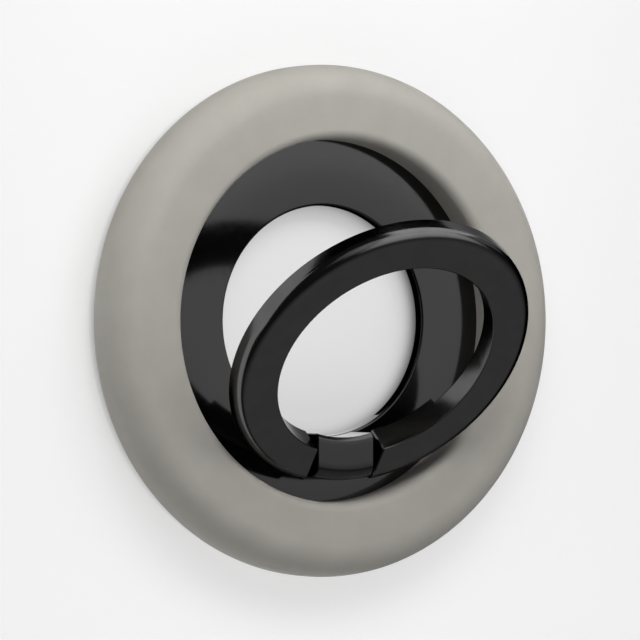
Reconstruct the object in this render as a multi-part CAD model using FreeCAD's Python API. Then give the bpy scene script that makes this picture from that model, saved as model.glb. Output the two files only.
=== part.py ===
import FreeCAD, Part
import math
import os

# Magnetic ring holder: a soft doughnut over a ring of magnets, a gloss plate
# with a round hole sunk in the middle, and a finger ring on a friction hinge.
# Millimetres. The face that the magnets hold lies in z = 0, the origin is its
# centre, +Z points out of the front, and the hinge is on -Y.

V = FreeCAD.Vector
Z = V(0, 0, 1)
X = V(1, 0, 0)

# ---- soft doughnut
COVER_R = 29.4          # outer radius
COVER_H = 7.3           # height of the flat top
COVER_CROWN = 3.7       # rounding of the outer top edge
COVER_FOOT = 2.1        # rounding of the outer bottom edge
COVER_Z0 = 0.4          # underside, just above the face of the pad
COVER_RI = 20.8         # wall of the recess
COVER_LIP = 1.1         # rounding of the inner top edge
CORE_RI = 22.2          # channel that the magnet carrier fills
CORE_RO = 27.25
CORE_TOP = 5.0

# ---- gloss plate
PLATE_HOLE_R = 13.25
PLATE_Z0 = 1.5
PLATE_Z1 = 3.05
PLATE_EDGE = 0.28       # broken edges of the hole

# ---- back
PAD_T = 0.4
PAD_RI = 14.5
PAD_RO = 27.0
BACK_RI = 14.35
BACK_T = 0.4            # under the magnets

# ---- magnets
MAG_N = 16
MAG_RI = 22.9
MAG_RO = 26.6
MAG_T = 2.0
MAG_RIB = 0.6           # rib between two magnets
SHUNT_T = 0.7

# ---- hinge
AXIS_Y = -15.75
AXIS_Z = 5.35
PIN_R = 0.75
PIN_CLEAR = 0.03
PIN_HALF = 6.9
REST_TILT = 37.8        # opening angle that the ring is stored at

# ---- finger ring, heights measured from the hinge axis
RING_RI = 13.3
RING_RO = 18.2
RING_FRONT = 2.32
RING_BACK = -0.45
RING_SHOULDER = 1.35    # rounding of the front outer edge
RING_BACK_BEVEL = 0.15
LUG_BACK = -1.25        # the ends are thicker towards the plate
LUG_BACK_BEVEL = 0.35
LUG_HALF_DEG = 53.0
END_X = 4.35            # the two flat ends
END_EDGE = 0.14         # their broken edges

# ---- hinge block
BLOCK_X = 3.71
BLOCK_RI = 13.3
BLOCK_RO = 18.2
BLOCK_TOP = 8.0
BLOCK_SHOULDER = 1.3    # rounding of the outer top edge
BLOCK_BEVEL_IN = 0.42
BLOCK_EDGE = 0.12

# ---- block screws
SCREW_R = 0.8
SCREW_HEAD_R = 1.5
SCREW_X = 1.85
SCREW_Y = -15.95
SCREW_TOP = 4.35
SOCKET_R = 0.55
SOCKET_DEPTH = 0.45

# ---- friction washers
WASHER_R = 1.3
WASHER_GAP = 0.08


def rounded_wire(points):
    """Closed wire in the XZ plane; each point is (r, z, corner radius)."""
    n = len(points)
    edges = []
    starts = []
    ends = []
    arcs = []
    for i in range(n):
        px, pz, rad = points[i]
        ax, az, _ = points[i - 1]
        bx, bz, _ = points[(i + 1) % n]
        p = V(px, 0, pz)
        if rad <= 0:
            starts.append(p)
            ends.append(p)
            arcs.append(None)
            continue
        d1 = (V(ax, 0, az) - p).normalize()
        d2 = (V(bx, 0, bz) - p).normalize()
        half = d1.getAngle(d2) / 2.0
        reach = rad / math.tan(half)
        t1 = p + d1 * reach
        t2 = p + d2 * reach
        mid_dir = (d1 + d2).normalize()
        centre = p + mid_dir * (rad / math.sin(half))
        mid = centre - mid_dir * rad
        starts.append(t1)
        ends.append(t2)
        arcs.append(mid)
    for i in range(n):
        j = (i + 1) % n
        if arcs[i] is not None:
            edges.append(Part.Arc(starts[i], arcs[i], ends[i]).toShape())
        if (starts[j] - ends[i]).Length > 1e-6:
            edges.append(Part.LineSegment(ends[i], starts[j]).toShape())
    return Part.Wire(edges)


def turned(points, start_deg=0.0, sweep_deg=360.0):
    """Solid of revolution about Z from a rounded profile."""
    face = Part.Face(rounded_wire(points))
    face.rotate(V(0, 0, 0), Z, start_deg)
    return face.revolve(V(0, 0, 0), Z, sweep_deg)


def tube(ri, ro, z0, z1):
    return turned([(ri, z0, 0), (ro, z0, 0), (ro, z1, 0), (ri, z1, 0)])


def prism_y(outline, y0, y1):
    """Prism along Y from a closed outline of (x, z) points."""
    points = [V(x, y0, z) for x, z in outline]
    return Part.Face(Part.makePolygon(points + points[:1])).extrude(V(0, y1 - y0, 0))


def one_solid(shape):
    shape = shape.removeSplitter()
    return shape.Solids[0] if len(shape.Solids) == 1 else shape


parts = {}

# ---- soft doughnut: crowned outside, straight wall to the recess, and a
# channel underneath for the magnet carrier
parts["silicone_cover"] = turned([
    (COVER_RI, PLATE_Z1, 0),
    (CORE_RI, PLATE_Z1, 0),
    (CORE_RI, CORE_TOP, 0),
    (CORE_RO, CORE_TOP, 0),
    (CORE_RO, COVER_Z0, 0),
    (COVER_R, COVER_Z0, COVER_FOOT),
    (COVER_R, COVER_H, COVER_CROWN),
    (COVER_RI, COVER_H, COVER_LIP),
])

# ---- gloss plate with its hole, and two countersunk holes from behind
plate = turned([
    (PLATE_HOLE_R, PLATE_Z0, PLATE_EDGE),
    (CORE_RI, PLATE_Z0, 0),
    (CORE_RI, PLATE_Z1, 0),
    (PLATE_HOLE_R, PLATE_Z1, PLATE_EDGE),
])
head_h = SCREW_HEAD_R - SCREW_R
screws = []
for sx in (-1, 1):
    at = V(sx * SCREW_X, SCREW_Y, PLATE_Z0)
    head = Part.makeCone(SCREW_HEAD_R, SCREW_R, head_h, at, Z)
    shank = Part.makeCylinder(SCREW_R, SCREW_TOP - PLATE_Z0 - head_h,
                              at + V(0, 0, head_h), Z)
    body = one_solid(head.fuse(shank))
    plate = plate.cut(body)
    hexagon = Part.makePolygon([
        at + V(SOCKET_R * math.cos(math.radians(60 * k)),
               SOCKET_R * math.sin(math.radians(60 * k)), 0)
        for k in range(7)])
    socket = Part.Face(hexagon).extrude(V(0, 0, SOCKET_DEPTH))
    screws.append((body, one_solid(body.cut(socket))))
parts["base_plate"] = one_solid(plate)
parts["block_screws"] = Part.makeCompound([s[1] for s in screws])

# ---- back: stepped cover under the plate and the magnets, soft pad under it
parts["back_cover"] = turned([
    (BACK_RI, PAD_T, 0),
    (CORE_RO, PAD_T, 0),
    (CORE_RO, PAD_T + BACK_T, 0),
    (CORE_RI, PAD_T + BACK_T, 0),
    (CORE_RI, PLATE_Z0, 0),
    (BACK_RI, PLATE_Z0, 0.25),
])
parts["back_pad"] = turned([
    (PAD_RI, 0.0, 0.15),
    (PAD_RO, 0.0, 0.15),
    (PAD_RO, PAD_T, 0),
    (PAD_RI, PAD_T, 0),
])

# ---- magnet carrier: ring with a pocket for each magnet, steel ring laid over
# the magnets, and a cap
mag_z0 = PAD_T + BACK_T
mag_z1 = mag_z0 + MAG_T
tray_top = mag_z1 + SHUNT_T
tray = tube(CORE_RI, CORE_RO, mag_z0, tray_top)
step = 360.0 / MAG_N
rib_deg = math.degrees(MAG_RIB / ((MAG_RI + MAG_RO) / 2.0))
for k in range(MAG_N):
    start = -90.0 + step * k + rib_deg / 2.0
    magnet = turned([
        (MAG_RI, mag_z0, 0),
        (MAG_RO, mag_z0, 0),
        (MAG_RO, mag_z1, 0),
        (MAG_RI, mag_z1, 0),
    ], start, step - rib_deg)
    parts["magnet_%02d" % (k + 1)] = magnet
    tray = tray.cut(magnet)
shunt = tube(MAG_RI, MAG_RO, mag_z1, tray_top)
tray = tray.cut(shunt)
parts["magnet_tray"] = one_solid(tray)
parts["shunt_ring"] = shunt
parts["tray_cap"] = tube(CORE_RI, CORE_RO, tray_top, CORE_TOP)

# ---- hinge block: the piece of ring that stays on the plate
block = turned([
    (BLOCK_RI, PLATE_Z1, 0),
    (BLOCK_RO, PLATE_Z1, 0),
    (BLOCK_RO, BLOCK_TOP, BLOCK_SHOULDER),
    (BLOCK_RI + BLOCK_BEVEL_IN, BLOCK_TOP, 0.12),
    (BLOCK_RI, BLOCK_TOP - BLOCK_BEVEL_IN, 0.12),
], -130.0, 80.0)
e = BLOCK_EDGE
block = one_solid(block.common(prism_y([
    (-BLOCK_X, 0), (BLOCK_X, 0), (BLOCK_X, BLOCK_TOP - e),
    (BLOCK_X - e, BLOCK_TOP), (-BLOCK_X + e, BLOCK_TOP),
    (-BLOCK_X, BLOCK_TOP - e)], -20, -8)))
bore = Part.makeCylinder(PIN_R + PIN_CLEAR, 2 * BLOCK_X + 2,
                         V(-BLOCK_X - 1, AXIS_Y, AXIS_Z), X)
block = block.cut(bore)
for solid, _ in screws:
    block = block.cut(solid)
parts["hinge_block"] = one_solid(block)

# ---- friction washers, against the block and just clear of the ring's ends
for name, sx in (("friction_washer_left", -1), ("friction_washer_right", 1)):
    x0 = sx * BLOCK_X
    length = END_X - BLOCK_X - WASHER_GAP
    disc = Part.makeCylinder(WASHER_R, length, V(x0, AXIS_Y, AXIS_Z), X * sx)
    hole = Part.makeCylinder(PIN_R + PIN_CLEAR, length, V(x0, AXIS_Y, AXIS_Z), X * sx)
    parts[name] = one_solid(disc.cut(hole))

# ---- finger ring, first drawn closed and level with its axis, then opened
def ring_profile(back, bevel):
    return [
        (RING_RI, RING_FRONT, 0.16),
        (RING_RI, back, 0.22),
        (RING_RO - bevel, back, 0),
        (RING_RO, back + bevel, 0),
        (RING_RO, RING_FRONT, RING_SHOULDER),
    ]

half = LUG_HALF_DEG
ring = turned(ring_profile(RING_BACK, RING_BACK_BEVEL), -90.0 + half, 360.0 - 2 * half)
lugs = turned(ring_profile(LUG_BACK, LUG_BACK_BEVEL), -90.0 - half, 2 * half)
ring = ring.fuse(lugs).removeSplitter()
e = END_EDGE
ring = one_solid(ring.cut(prism_y([
    (-END_X - e - 2, RING_FRONT + 2), (-END_X, RING_FRONT - e),
    (-END_X, LUG_BACK + e), (-END_X - e - 2, LUG_BACK - 2),
    (END_X + e + 2, LUG_BACK - 2), (END_X, LUG_BACK + e),
    (END_X, RING_FRONT - e), (END_X + e + 2, RING_FRONT + 2)], -25, 0)))
# the pin's bore is closed outside, as after plugging and coating
pin_hole = Part.makeCylinder(PIN_R, 2 * PIN_HALF + 0.2, V(-PIN_HALF - 0.1, AXIS_Y, 0), X)
ring = one_solid(ring.cut(pin_hole))
pin = turned([
    (0, -PIN_HALF, 0),
    (PIN_R, -PIN_HALF, 0.2),
    (PIN_R, PIN_HALF, 0.2),
    (0, PIN_HALF, 0),
])
pin.rotate(V(0, 0, 0), V(0, 1, 0), 90)
pin.translate(V(0, AXIS_Y, 0))
for shape in (ring, pin):
    shape.translate(V(0, 0, AXIS_Z))
    shape.rotate(V(0, AXIS_Y, AXIS_Z), X, REST_TILT)
parts["kickstand_ring"] = ring
parts["hinge_pin"] = pin

os.makedirs("parts", exist_ok=True)
for name, shape in parts.items():
    solids = shape.Solids
    print(name, len(solids), "valid" if shape.isValid() else "INVALID",
          round(shape.Volume, 2))
    shape.exportStep("parts/%s.step" % name)
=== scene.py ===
import math

import bmesh
import bpy
from mathutils import Matrix, Vector


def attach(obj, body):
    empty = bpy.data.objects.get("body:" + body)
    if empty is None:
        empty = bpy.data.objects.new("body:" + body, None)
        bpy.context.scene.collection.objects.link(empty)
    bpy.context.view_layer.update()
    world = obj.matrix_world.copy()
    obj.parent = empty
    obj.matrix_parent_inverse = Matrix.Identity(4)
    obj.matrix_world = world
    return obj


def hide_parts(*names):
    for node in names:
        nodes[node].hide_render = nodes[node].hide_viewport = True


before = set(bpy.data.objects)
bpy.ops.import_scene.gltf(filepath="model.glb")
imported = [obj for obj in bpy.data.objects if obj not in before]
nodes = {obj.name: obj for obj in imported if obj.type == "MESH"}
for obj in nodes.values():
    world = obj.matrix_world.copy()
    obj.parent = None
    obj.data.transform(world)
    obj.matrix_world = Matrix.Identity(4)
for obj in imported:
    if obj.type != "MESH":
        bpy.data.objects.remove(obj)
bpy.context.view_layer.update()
scene = bpy.context.scene
MM = 0.001


# ---------------------------------------------------------------- camera
# Looks down on the holder from its left, with +Y up in the picture.
PSI = math.radians(30.378)
CAM_AT = Vector((-0.292907, 0.0001, 0.494039))
cam_data = bpy.data.cameras.new("cam")
cam = bpy.data.objects.new("cam", cam_data)
scene.collection.objects.link(cam)
cam_data.sensor_width = 36.0
cam_data.lens = 279.8
cam_data.clip_start = 0.01
cam_data.clip_end = 20.0
TURN = math.radians(0.396)
right0 = Vector((math.cos(PSI), 0.0, math.sin(PSI)))
back0 = Vector((-math.sin(PSI), 0.0, math.cos(PSI)))
back = back0 * math.cos(TURN) - right0 * math.sin(TURN)
up = Vector((0.0, 1.0, 0.0))
right = up.cross(back)
cam.matrix_world = Matrix((
    (right.x, up.x, back.x, CAM_AT.x),
    (right.y, up.y, back.y, CAM_AT.y),
    (right.z, up.z, back.z, CAM_AT.z),
    (0.0, 0.0, 0.0, 1.0)))
scene.camera = cam


# ---------------------------------------------------------------- materials
def new_material(name):
    m = bpy.data.materials.new(name)
    m.use_nodes = True
    nt = m.node_tree
    nt.nodes.clear()
    out = nt.nodes.new("ShaderNodeOutputMaterial")
    bsdf = nt.nodes.new("ShaderNodeBsdfPrincipled")
    nt.links.new(bsdf.outputs["BSDF"], out.inputs["Surface"])
    return m, nt, bsdf


def coords(nt):
    tc = nt.nodes.new("ShaderNodeTexCoord")
    return tc.outputs["Object"]


def noise(nt, vec, scale, detail=3.0, rough=0.5):
    n = nt.nodes.new("ShaderNodeTexNoise")
    n.inputs["Scale"].default_value = scale
    n.inputs["Detail"].default_value = detail
    n.inputs["Roughness"].default_value = rough
    nt.links.new(vec, n.inputs["Vector"])
    return n.outputs["Fac"]


def ramp(nt, fac, stops):
    r = nt.nodes.new("ShaderNodeValToRGB")
    el = r.color_ramp.elements
    while len(el) < len(stops):
        el.new(0.5)
    for e, (pos, col) in zip(el, stops):
        e.position = pos
        e.color = (col[0], col[1], col[2], 1.0)
    nt.links.new(fac, r.inputs["Fac"])
    return r.outputs["Color"]


def span(nt, fac, lo, hi):
    m = nt.nodes.new("ShaderNodeMapRange")
    m.inputs["From Min"].default_value = 0.3
    m.inputs["From Max"].default_value = 0.7
    m.inputs["To Min"].default_value = lo
    m.inputs["To Max"].default_value = hi
    nt.links.new(fac, m.inputs["Value"])
    return m.outputs["Result"]


def bump(nt, height, strength, distance, normal=None):
    b = nt.nodes.new("ShaderNodeBump")
    b.inputs["Strength"].default_value = strength
    b.inputs["Distance"].default_value = distance
    nt.links.new(height, b.inputs["Height"])
    if normal is not None:
        nt.links.new(normal, b.inputs["Normal"])
    return b.outputs["Normal"]


def silicone_material():
    m, nt, b = new_material("silicone_taupe")
    v = coords(nt)
    tone = noise(nt, v, 260.0, 4.0, 0.55)
    nt.links.new(ramp(nt, tone, [(0.30, (0.419, 0.400, 0.361)),
                                 (0.70, (0.450, 0.431, 0.392))]),
                 b.inputs["Base Color"])
    nt.links.new(span(nt, noise(nt, v, 900.0, 3.0), 0.56, 0.68), b.inputs["Roughness"])
    b.inputs["Specular IOR Level"].default_value = 0.32
    b.inputs["Sheen Weight"].default_value = 0.10
    b.inputs["Sheen Roughness"].default_value = 0.5
    grain = bump(nt, noise(nt, v, 7000.0, 2.0), 0.22, 0.00004)
    nt.links.new(bump(nt, noise(nt, v, 420.0, 2.0), 0.05, 0.0002, grain),
                 b.inputs["Normal"])
    return m


def coating_material(name, lo, hi, rough_lo, rough_hi, edge, peel, peel_scale):
    m, nt, b = new_material(name)
    v = coords(nt)
    b.inputs["Metallic"].default_value = 1.0
    b.inputs["Specular Tint"].default_value = (edge, edge, edge, 1.0)
    nt.links.new(ramp(nt, noise(nt, v, 500.0, 4.0), [(0.3, lo), (0.7, hi)]),
                 b.inputs["Base Color"])
    nt.links.new(span(nt, noise(nt, v, 1400.0, 4.0, 0.6), rough_lo, rough_hi),
                 b.inputs["Roughness"])
    nt.links.new(bump(nt, noise(nt, v, peel_scale, 2.0), peel, 0.00005),
                 b.inputs["Normal"])
    return m


def lacquer_material(name, lo, hi, rough_lo, rough_hi, peel, peel_scale):
    m, nt, b = new_material(name)
    v = coords(nt)
    nt.links.new(ramp(nt, noise(nt, v, 500.0, 4.0), [(0.3, lo), (0.7, hi)]),
                 b.inputs["Base Color"])
    nt.links.new(span(nt, noise(nt, v, 1400.0, 4.0, 0.6), rough_lo, rough_hi),
                 b.inputs["Roughness"])
    b.inputs["IOR"].default_value = 1.58
    nt.links.new(bump(nt, noise(nt, v, peel_scale, 2.0), peel, 0.00005),
                 b.inputs["Normal"])
    return m


def plastic_material(name, lo, hi):
    m, nt, b = new_material(name)
    v = coords(nt)
    nt.links.new(ramp(nt, noise(nt, v, 700.0, 4.0), [(0.3, lo), (0.7, hi)]),
                 b.inputs["Base Color"])
    nt.links.new(span(nt, noise(nt, v, 2600.0, 3.0), 0.46, 0.6), b.inputs["Roughness"])
    nt.links.new(bump(nt, noise(nt, v, 6000.0, 2.0), 0.3, 0.00006), b.inputs["Normal"])
    return m


def metal_material(name, lo, hi, rough_lo, rough_hi):
    m, nt, b = new_material(name)
    v = coords(nt)
    mp = nt.nodes.new("ShaderNodeMapping")
    mp.inputs["Scale"].default_value = (1.0, 1.0, 12.0)
    nt.links.new(v, mp.inputs["Vector"])
    b.inputs["Metallic"].default_value = 1.0
    nt.links.new(ramp(nt, noise(nt, mp.outputs["Vector"], 900.0, 4.0), [(0.3, lo), (0.7, hi)]),
                 b.inputs["Base Color"])
    nt.links.new(span(nt, noise(nt, mp.outputs["Vector"], 2400.0, 4.0), rough_lo, rough_hi),
                 b.inputs["Roughness"])
    nt.links.new(bump(nt, noise(nt, mp.outputs["Vector"], 3500.0, 2.0), 0.15, 0.00003),
                 b.inputs["Normal"])
    return m


M_SILICONE = silicone_material()
M_GLOSS = lacquer_material("gloss_black", (0.0006, 0.0006, 0.0006), (0.0014, 0.0014, 0.0014),
                           0.08, 0.13, 0.02, 900.0)
M_BLOCK = lacquer_material("block_black", (0.0008, 0.0008, 0.0008), (0.0016, 0.0016, 0.0016),
                           0.12, 0.17, 0.03, 1800.0)
M_SATIN = coating_material("satin_black", (0.092, 0.092, 0.093), (0.104, 0.104, 0.105),
                           0.13, 0.19, 0.35, 0.03, 2400.0)
M_PLASTIC = plastic_material("black_plastic", (0.014, 0.014, 0.015), (0.022, 0.022, 0.023))
M_PAD = plastic_material("pad_rubber", (0.03, 0.03, 0.031), (0.045, 0.045, 0.046))
M_STEEL = metal_material("plain_steel", (0.46, 0.46, 0.47), (0.6, 0.6, 0.61), 0.22, 0.36)
M_DARK = metal_material("black_steel", (0.02, 0.02, 0.021), (0.04, 0.04, 0.042), 0.3, 0.45)
M_NICKEL = metal_material("nickel", (0.58, 0.56, 0.52), (0.68, 0.65, 0.61), 0.14, 0.24)

LOOK = {
    "silicone_cover": M_SILICONE, "base_plate": M_GLOSS, "kickstand_ring": M_SATIN,
    "hinge_block": M_BLOCK, "back_cover": M_PLASTIC, "back_pad": M_PAD,
    "magnet_tray": M_PLASTIC, "tray_cap": M_PLASTIC, "shunt_ring": M_STEEL,
    "hinge_pin": M_STEEL, "block_screws": M_DARK,
    "friction_washer_left": M_DARK, "friction_washer_right": M_DARK,
}
for name, obj in nodes.items():
    obj.data.materials.clear()
    obj.data.materials.append(LOOK.get(name, M_NICKEL))


# ---------------------------------------------------------------- turned pieces
def rounded_profile(corners, step_deg=7.5):
    """Closed outline through (r, z, corner radius) corners, in millimetres."""
    out = []
    n = len(corners)
    for i, (pr, pz, rad) in enumerate(corners):
        p = Vector((pr, pz))
        if rad <= 0.0:
            out.append(p)
            continue
        d1 = (Vector(corners[i - 1][:2]) - p).normalized()
        d2 = (Vector(corners[(i + 1) % n][:2]) - p).normalized()
        half = d1.angle(d2) / 2.0
        centre = p + (d1 + d2).normalized() * (rad / math.sin(half))
        t1 = p + d1 * (rad / math.tan(half)) - centre
        t2 = p + d2 * (rad / math.tan(half)) - centre
        a1 = math.atan2(t1.y, t1.x)
        turn = math.atan2(t2.y, t2.x) - a1
        turn = (turn + math.pi) % (2.0 * math.pi) - math.pi
        steps = max(2, round(abs(math.degrees(turn)) / step_deg))
        for k in range(steps + 1):
            a = a1 + turn * k / steps
            out.append(centre + Vector((math.cos(a), math.sin(a))) * rad)
    return out


def split_long(outline, longest):
    """The same outline with its long straight runs divided."""
    out = []
    n = len(outline)
    for i, p in enumerate(outline):
        q = outline[(i + 1) % n]
        parts = max(1, math.ceil((q - p).length / longest))
        out += [p.lerp(q, k / parts) for k in range(parts)]
    return out


def lathe(name, outline, segments, material, sharp_deg=32.0):
    """Closed outline turned about Z into a mesh, outline in millimetres."""
    bm = bmesh.new()
    rings = []
    for s_i in range(segments):
        t = 2.0 * math.pi * s_i / segments
        rings.append([bm.verts.new((p.x * math.cos(t) * MM, p.x * math.sin(t) * MM, p.y * MM))
                      for p in outline])
    n = len(outline)
    for s_i in range(segments):
        a, b = rings[s_i], rings[(s_i + 1) % segments]
        for i in range(n):
            j = (i + 1) % n
            bm.faces.new((a[i], b[i], b[j], a[j]))
    bmesh.ops.recalc_face_normals(bm, faces=bm.faces)
    for f in bm.faces:
        f.smooth = True
    for e in bm.edges:
        if len(e.link_faces) == 2 and e.calc_face_angle() > math.radians(sharp_deg):
            e.smooth = False
    mesh = bpy.data.meshes.new(name)
    bm.to_mesh(mesh)
    bm.free()
    mesh.materials.append(material)
    obj = bpy.data.objects.new(name, mesh)
    scene.collection.objects.link(obj)
    return obj


# Soft doughnut: crowned outer wall, straight wall down to the recess, channel
# underneath.
cover = lathe("silicone_skin", split_long(rounded_profile([
    (20.80, 3.05, 0.0), (22.20, 3.05, 0.0), (22.20, 5.00, 0.0), (27.25, 5.00, 0.0),
    (27.25, 0.40, 0.0), (29.40, 0.40, 2.10), (29.40, 7.30, 3.70), (20.80, 7.30, 1.10)], 4.0),
    0.7), 320, M_SILICONE)
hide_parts("silicone_cover")
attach(cover, "base")

# Soft pad underneath, with fine rings moulded in its lower face.
pad_corners = [(14.50, 0.40, 0.0), (14.50, 0.0, 0.15)]
for k in range(9):
    r = 15.9 + 1.25 * k
    pad_corners += [(r - 0.16, 0.0, 0.0), (r, 0.07, 0.05), (r + 0.16, 0.0, 0.0)]
pad_corners += [(27.00, 0.0, 0.15), (27.00, 0.40, 0.0)]
pad = lathe("back_pad_skin", rounded_profile(pad_corners, 15.0), 256, M_PAD)
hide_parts("back_pad")
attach(pad, "base")

# Gloss plate with the broken edges of its hole.
plate = lathe("plate_skin", rounded_profile([
    (13.25, 1.50, 0.28), (22.20, 1.50, 0.0), (22.20, 3.05, 0.0), (13.25, 3.05, 0.28)], 9.0),
    360, M_GLOSS)
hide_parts("base_plate")
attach(plate, "base")


# ---------------------------------------------------------------- cut rings
def inset(outline, by):
    """The outline moved inwards, for the broken edge of a flat end."""
    out = []
    n = len(outline)
    area2 = sum(outline[i].x * outline[(i + 1) % n].y - outline[(i + 1) % n].x * outline[i].y
                for i in range(n))
    side = 1.0 if area2 > 0.0 else -1.0
    for i, p in enumerate(outline):
        d1 = (p - outline[i - 1]).normalized()
        d2 = (outline[(i + 1) % n] - p).normalized()
        t = (d1 + d2).normalized()
        stretch = min(2.0, 1.0 / max(0.3, t.dot(d1)))
        out.append(p + Vector((-t.y, t.x)) * (side * by * stretch))
    return out


def cut_ring(name, stations, material, place, sharp_deg=32.0):
    """Closed outlines carried from one flat end to the other. Each station is an
    outline of (r, z) points and the angle of each point, in millimetres and
    radians from -Y; place turns a point into its resting position."""
    bm = bmesh.new()
    loops = []
    for outline, angles in stations:
        loops.append([bm.verts.new(place(Vector((p.x * math.sin(t), -p.x * math.cos(t), p.y))) * MM)
                      for p, t in zip(outline, angles)])
    n = len(loops[0])
    for a, b in zip(loops, loops[1:]):
        for i in range(n):
            j = (i + 1) % n
            quad = (a[i], b[i], b[j], a[j])
            same_i = (a[i].co - b[i].co).length < 1e-8
            same_j = (a[j].co - b[j].co).length < 1e-8
            if same_i and same_j:
                continue
            if same_i:
                quad = (a[i], b[j], a[j])
            elif same_j:
                quad = (a[i], b[i], a[j])
            bm.faces.new(quad)
    bm.faces.new(loops[0])
    bm.faces.new(loops[-1])
    bmesh.ops.remove_doubles(bm, verts=bm.verts, dist=1e-8)
    bmesh.ops.recalc_face_normals(bm, faces=bm.faces)
    for f in bm.faces:
        f.smooth = len(f.verts) < 5
    for e in bm.edges:
        if len(e.link_faces) == 2 and e.calc_face_angle() > math.radians(sharp_deg):
            e.smooth = False
    mesh = bpy.data.meshes.new(name)
    bm.to_mesh(mesh)
    bm.free()
    mesh.materials.append(material)
    obj = bpy.data.objects.new(name, mesh)
    scene.collection.objects.link(obj)
    return obj


def end_angles(outline, x):
    return [math.asin(x / p.x) for p in outline]


# Hinge block: the short piece of ring fixed to the plate.
B_X, B_EDGE = 3.71, 0.12
b_out = split_long(rounded_profile([
    (13.30, 3.05, 0.0), (18.20, 3.05, 0.0), (18.20, 8.00, 1.30), (13.72, 8.00, 0.12),
    (13.30, 7.58, 0.12)], 6.0), 0.6)
b_in = inset(b_out, B_EDGE)
b_end = end_angles(b_out, B_X - B_EDGE)
b_stations = [(b_in, [-t for t in end_angles(b_in, B_X)])]
for k in range(33):
    b_stations.append((b_out, [t * (k / 16.0 - 1.0) for t in b_end]))
b_stations.append((b_in, end_angles(b_in, B_X)))
block = cut_ring("block_skin", b_stations, M_BLOCK, lambda p: p)
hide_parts("hinge_block")
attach(block, "base")

# Finger ring: rounded shoulder, thicker ends, opened about the hinge axis.
TILT = math.radians(37.8)
AXIS = Vector((0.0, -15.75, 5.35))


def opened(p):
    y, z = p.y - AXIS.y, p.z
    return Vector((p.x, AXIS.y + y * math.cos(TILT) - z * math.sin(TILT),
                   AXIS.z + y * math.sin(TILT) + z * math.cos(TILT)))


def ring_outline(back, bevel):
    return split_long(rounded_profile([
        (13.30, 2.32, 0.16), (13.30, back, 0.22), (18.192 - bevel, back, 0.06),
        (18.192, back + bevel, 0.06), (18.192, 2.32, 1.35)], 6.0), 50.0)


R_X, R_EDGE = 4.35, 0.14
r_lug = ring_outline(-1.25, 0.35)
r_body = ring_outline(-0.45, 0.15)
r_in = inset(r_lug, R_EDGE)
r_end = end_angles(r_lug, R_X + R_EDGE)
LUG = math.radians(53.0)
half = [(r_in, end_angles(r_in, R_X))]
for k in range(25):
    half.append((r_lug, [t + (LUG - t) * k / 24.0 for t in r_end]))
for k in range(161):
    half.append((r_body, [LUG + (math.pi - LUG) * k / 160.0] * len(r_body)))
r_stations = half + [(o, [2.0 * math.pi - t for t in a]) for o, a in half[-2::-1]]
ring = cut_ring("ring_skin", r_stations, M_SATIN, opened)
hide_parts("kickstand_ring")
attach(ring, "ring")


# ---------------------------------------------------------------- floor
def floor_material(name, tone, glow, near_glow=None, under=None):
    """Pale floor. near_glow is its glow on the near side, where less light falls,
    and under its tone in the holder's hole. Under the holder and close to the hole's wall, painted
    shade darkens the floor's colour and glow."""
    m, nt, b = new_material(name)
    v = coords(nt)
    # Painted shade: under the holder and near the wall of its hole, the floor's colour and glow are
    # darkened in place of the shadow the holder casts.
    if under:
        mp = nt.nodes.new("ShaderNodeMapping")
        mp.inputs["Scale"].default_value = (1.0 / 0.03,) * 3
        nt.links.new(v, mp.inputs["Vector"])
        hole_shade_mask = nt.nodes.new("ShaderNodeTexGradient")
        hole_shade_mask.gradient_type = "SPHERICAL"
        nt.links.new(mp.outputs["Vector"], hole_shade_mask.inputs["Vector"])
        steps = [(0.517, 0.12), (0.542, 0.48), (0.557, 0.71), (0.572, 0.87), (0.590, 0.96), (0.62, 1.0)]
        tones = ramp(nt, hole_shade_mask.outputs["Fac"], [(0.03, (tone,) * 3), (0.10, (under * 0.12,) * 3)]
                     + [(g, (under * f,) * 3) for g, f in steps])
        nt.links.new(ramp(nt, hole_shade_mask.outputs["Fac"], [(0.03, (1.0,) * 3), (0.10, (0.12,) * 3)]
                          + [(g, (f,) * 3) for g, f in steps]), b.inputs["Emission Color"])
    else:
        tones = ramp(nt, noise(nt, v, 30.0, 2.0), [(0.3, (tone,) * 3), (0.7, (tone + 0.01,) * 3)])
    nt.links.new(tones, b.inputs["Base Color"])
    nt.links.new(ramp(nt, noise(nt, v, 40.0, 2.0), [(0.3, (0.66,) * 3), (0.7, (0.74,) * 3)]),
                 b.inputs["Roughness"])
    b.inputs["Specular IOR Level"].default_value = 0.2
    if not under:
        b.inputs["Emission Color"].default_value = (1.0, 1.0, 1.0, 1.0)
    b.inputs["Emission Strength"].default_value = glow
    if near_glow:
        sep = nt.nodes.new("ShaderNodeSeparateXYZ")
        nt.links.new(v, sep.inputs["Vector"])
        fade = nt.nodes.new("ShaderNodeMapRange")
        fade.inputs["From Min"].default_value = -0.035
        fade.inputs["From Max"].default_value = 0.035
        fade.inputs["To Min"].default_value = near_glow
        fade.inputs["To Max"].default_value = glow
        nt.links.new(sep.outputs["Y"], fade.inputs["Value"])
        nt.links.new(fade.outputs["Result"], b.inputs["Emission Strength"])
    return m


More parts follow.
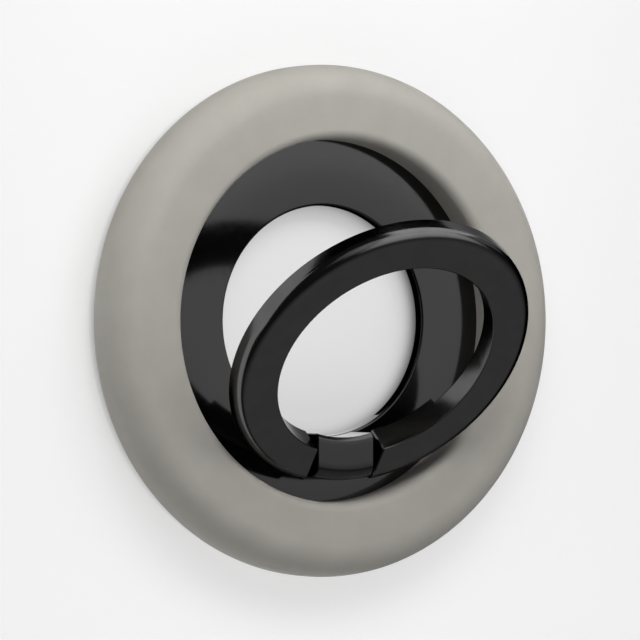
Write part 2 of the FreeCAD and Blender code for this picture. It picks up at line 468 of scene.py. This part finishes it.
def add_floor(name, loops, material, seen, gloss, light, bowl=None):
    bm = bmesh.new()
    if bowl:
        line = [bm.verts.new((p.x, 0.0, p.y)) for p in bowl]
        edges = [bm.edges.new(line[i:i + 2]) for i in range(len(line) - 1)]
        bmesh.ops.spin(bm, geom=line + edges, cent=(0.0, 0.0, 0.0), axis=(0.0, 0.0, 1.0),
                       angle=2.0 * math.pi, steps=96, use_merge=True)
        bmesh.ops.remove_doubles(bm, verts=bm.verts, dist=1e-6)
        bmesh.ops.recalc_face_normals(bm, faces=bm.faces)
        for f in bm.faces:
            f.smooth = True
    else:
        edges = []
        for loop in loops:
            vs = [bm.verts.new(p) for p in loop]
            edges += [bm.edges.new((vs[i], vs[(i + 1) % len(vs)])) for i in range(len(vs))]
        bmesh.ops.triangle_fill(bm, edges=edges, use_beauty=True, normal=(0.0, 0.0, 1.0))
    mesh = bpy.data.meshes.new(name)
    bm.to_mesh(mesh)
    bm.free()
    obj = bpy.data.objects.new(name, mesh)
    scene.collection.objects.link(obj)
    mesh.materials.append(material)
    obj.visible_camera = seen
    obj.visible_glossy = gloss
    obj.visible_diffuse = light
    obj.visible_transmission = light
    obj.visible_shadow = light
    return obj


def square(half, z):
    return [(-half, -half, z), (half, -half, z), (half, half, z), (-half, half, z)]


# The pale floor that is seen, and just under it the sheets that throw light
# back up. Only a part at the left and one at the right show in its gloss.
F_SEEN = floor_material("pale_floor", 0.50, 0.44, 0.56, 0.31)
F_BOUNCE = floor_material("pale_bounce", 0.55, 0.14)
F_GLOSS = floor_material("pale_gloss", 0.55, 1.02)
LOW = -0.0001
card = [(-0.300, -0.100, LOW), (-0.0415, -0.080, LOW), (0.008, -0.080, LOW), (0.008, -0.006, LOW),
        (-0.0008, -0.004, LOW), (-0.0008, 0.0075, LOW), (-0.030, 0.0075, LOW),
        (-0.030, 0.080, LOW), (-0.085, 0.085, LOW), (-0.300, 0.250, LOW)]
card_right = [(0.030, 0.010, LOW), (0.300, 0.130, LOW), (0.300, 0.330, LOW), (0.055, 0.075, LOW),
              (0.030, 0.050, LOW)]
bowl = [Vector((0.0, 0.0)), Vector((0.9, 0.0))]
bowl += [Vector((0.9 + 0.6 * math.sin(t), 0.6 - 0.6 * math.cos(t)))
         for t in [math.radians(7.5 * k) for k in range(1, 13)]]
bowl += [Vector((1.5, 2.2))]
add_floor("floor", None, F_SEEN, True, False, False, bowl)
add_floor("floor_card", [card], F_GLOSS, False, True, False)
add_floor("floor_card_right", [card_right], F_GLOSS, False, True, False)
add_floor("floor_wide", [square(2.0, LOW)], F_BOUNCE, False, False, True)


# ---------------------------------------------------------------- light
def area(name, at, target, size_x, size_y, power, diffuse=True, glossy=True):
    d = bpy.data.lights.new(name, "AREA")
    d.shape = "RECTANGLE"
    d.size = size_x
    d.size_y = size_y
    d.energy = power
    o = bpy.data.objects.new(name, d)
    scene.collection.objects.link(o)
    o.location = at
    o.rotation_euler = (Vector(target) - Vector(at)).to_track_quat("-Z", "Y").to_euler()
    o.visible_camera = False
    o.visible_diffuse = diffuse
    o.visible_glossy = glossy
    return o


def overhead(name, x0, x1, y0, y1, z, glow):
    """Sheet of light above the holder that shows only in its gloss."""
    at = ((x0 + x1) / 2.0, (y0 + y1) / 2.0, z)
    area(name, at, (at[0], at[1], 0.0), x1 - x0, y1 - y0,
         glow * math.pi * (x1 - x0) * (y1 - y0), diffuse=False)


# Lamps that shape the soft doughnut.
CENTRE = (0.0, 0.0, 0.0)
area("near_left", (-0.06, 0.09, 0.12), CENTRE, 0.10, 0.08, 0.0824, glossy=False)
area("near_top", (0.0, 0.09, 0.09), CENTRE, 0.10, 0.06, 0.059, glossy=False)
area("near_right", (0.08, 0.08, 0.12), CENTRE, 0.10, 0.08, 0.058, glossy=False)
area("near_low", (0.0, -0.10, 0.12), CENTRE, 0.10, 0.08, 0.050, glossy=False)
area("rim", (-0.33, 0.10, 0.014), (0.0, 0.0, 0.006), 0.20, 0.02, 0.20, glossy=False)

# Overlapping sheets with stepped edges, brighter towards the top of the picture.
overhead("sheet_1", -0.02, 0.75, -0.09, 0.45, 0.430, 0.32)
overhead("sheet_2", -0.06, 0.72, -0.04, 0.45, 0.427, 0.42)
overhead("sheet_3", -0.06, 0.60, -0.012, 0.45, 0.424, 0.24)
overhead("sheet_4", -0.04, 0.55, 0.015, 0.45, 0.421, 0.45)
overhead("sheet_5", -0.04, 0.50, 0.14, 0.45, 0.418, 0.40)
overhead("sheet_6", -0.30, -0.06, 0.12, 0.45, 0.415, 0.45)
overhead("sheet_7", -0.16, -0.06, 0.03, 0.45, 0.412, 0.35)
area("back_sheet", (0.385, 0.46, 0.225), (0.385, 0.0, 0.225), 0.73, 0.39,
     2.0 * math.pi * 0.73 * 0.39, diffuse=False)
area("left_sheet", (-0.30, 0.075, 0.045), (0.0, 0.075, 0.045), 0.35, 0.09,
     1.1 * math.pi * 0.35 * 0.09, diffuse=False)
area("right_sheet", (0.50, 0.245, 0.13), (0.0, 0.245, 0.13), 0.26, 0.26,
     0.45 * math.pi * 0.26 * 0.26, diffuse=False)

# Sky: dark under the horizon, dim above it, paler in front of the hinge.
world = bpy.data.worlds.new("studio")
scene.world = world
world.use_nodes = True
wt = world.node_tree
wt.nodes.clear()
w_out = wt.nodes.new("ShaderNodeOutputWorld")
w_add = wt.nodes.new("ShaderNodeAddShader")
w_tc = wt.nodes.new("ShaderNodeTexCoord")


def sky_height(vec, lo, hi):
    sep = wt.nodes.new("ShaderNodeSeparateXYZ")
    wt.links.new(vec, sep.inputs["Vector"])
    mp = wt.nodes.new("ShaderNodeMapRange")
    mp.inputs["From Min"].default_value = lo
    mp.inputs["From Max"].default_value = hi
    wt.links.new(sep.outputs["Z"], mp.inputs["Value"])
    return mp


front = Vector((0.40, -0.88, 0.30)).normalized()
side = front.cross(Vector((0.0, 0.0, 1.0))).normalized()
turn = Matrix((side, front.cross(side), front)).to_euler("XYZ")
w_turn = wt.nodes.new("ShaderNodeMapping")
w_turn.inputs["Rotation"].default_value = turn
wt.links.new(w_tc.outputs["Generated"], w_turn.inputs["Vector"])
glow = sky_height(w_turn.outputs["Vector"], -1.0, 1.0)
horizon = sky_height(w_tc.outputs["Generated"], -0.03, 0.03)
dim = sky_height(w_tc.outputs["Generated"], -0.03, 0.03)
dim.inputs["To Max"].default_value = 0.04
w_front = wt.nodes.new("ShaderNodeBackground")
wt.links.new(ramp(wt, glow.outputs["Result"], [(0.75, (0.0, 0.0, 0.0)), (0.975, (0.25, 0.25, 0.25))]),
             w_front.inputs["Color"])
wt.links.new(horizon.outputs["Result"], w_front.inputs["Strength"])
w_dim = wt.nodes.new("ShaderNodeBackground")
w_dim.inputs["Color"].default_value = (1.0, 1.0, 1.0, 1.0)
wt.links.new(dim.outputs["Result"], w_dim.inputs["Strength"])
wt.links.new(w_front.outputs["Background"], w_add.inputs[0])
wt.links.new(w_dim.outputs["Background"], w_add.inputs[1])
wt.links.new(w_add.outputs["Shader"], w_out.inputs["Surface"])
scene.view_settings.view_transform = "Standard"
scene.view_settings.look = "None"
